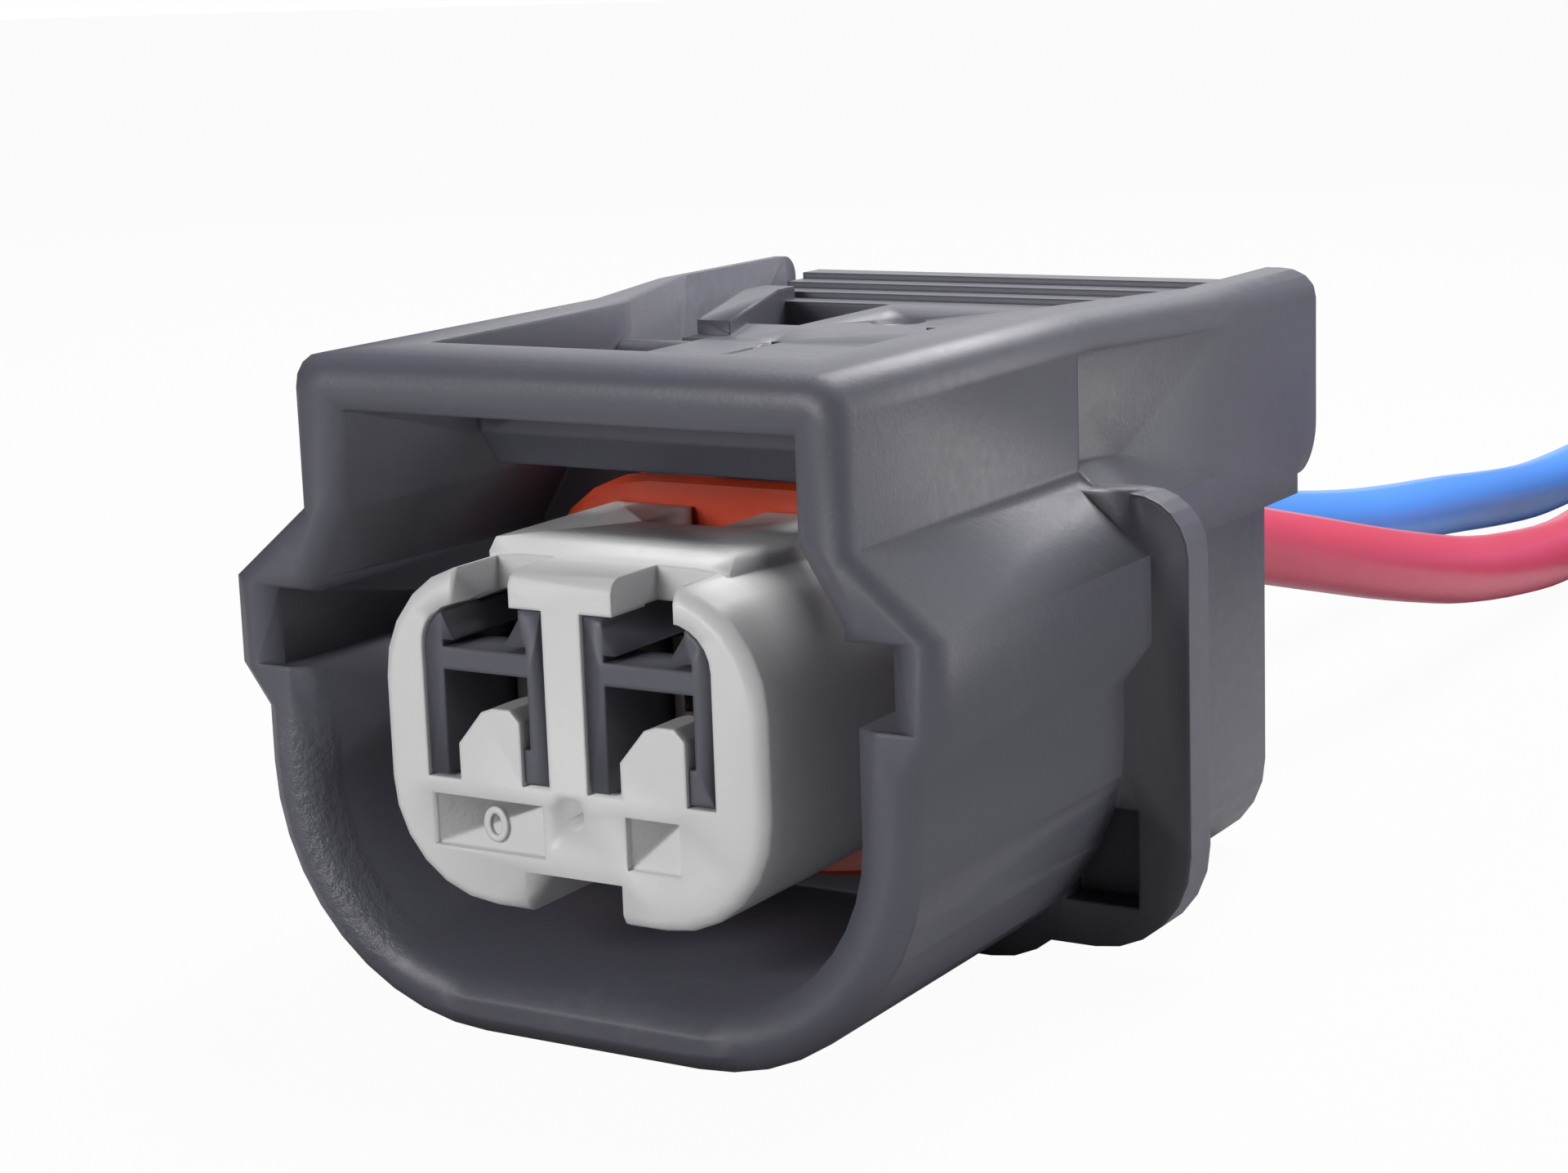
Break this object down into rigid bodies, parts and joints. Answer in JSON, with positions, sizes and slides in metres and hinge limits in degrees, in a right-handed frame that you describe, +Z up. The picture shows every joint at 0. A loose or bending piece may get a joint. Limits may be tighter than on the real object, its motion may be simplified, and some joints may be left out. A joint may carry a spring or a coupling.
{
  "type": "two-way sealed automotive wire connector",
  "caption": "Sealed female automotive wire connector with a latch lever, a front retainer, seals and a pigtail of two coiled wires.",
  "frame": {"origin": "on the surface the connector rests on, below the middle of the connector's box (its wires and their coil apart)", "axes": "+Y from the mating face to the wires, +Z up towards the latch lever, +X to the right of someone who looks into the mating face"},
  "size_m": [0.0422, 0.0808, 0.015],
  "materials": {
    "housing": "satin moulded, dusty",
    "retainer": "satin moulded",
    "seal": "smooth, oiled",
    "wire_seal": "smooth",
    "terminal": "tin-plated",
    "copper": "bare strands",
    "wire_blue": "smooth insulation",
    "wire_red": "smooth insulation",
    "tie": "textile tape"
  },
  "bodies": {
    "connector": {"housing": "housing", "interface_seal": "seal", "terminal_left": "terminal", "terminal_right": "terminal", "core_left": "copper", "core_right": "copper", "wire_seal_left": "wire_seal", "wire_seal_right": "wire_seal", "lead_blue": "wire_blue", "lead_red": "wire_red", "coil_blue": "wire_blue", "coil_red": "wire_red", "coil_tie_near": "tie", "coil_tie_far": "tie"},
    "lever": {"lock_lever": "housing"},
    "retainer": {"front_retainer": "retainer"}
  },
  "joints": [
    {"name": "lever_press", "type": "hinge", "parent": "connector", "child": "lever", "pos_m": [0, -0.00082, 0.0136], "axis": [1, 0, 0], "range_deg": [-8, 0], "stiffness_Nm_per_rad": 0.02},
    {"name": "retainer_pull", "type": "slide", "parent": "connector", "child": "retainer", "axis": [0, -1, 0], "range_m": [0, 0.0013]}
  ]
}
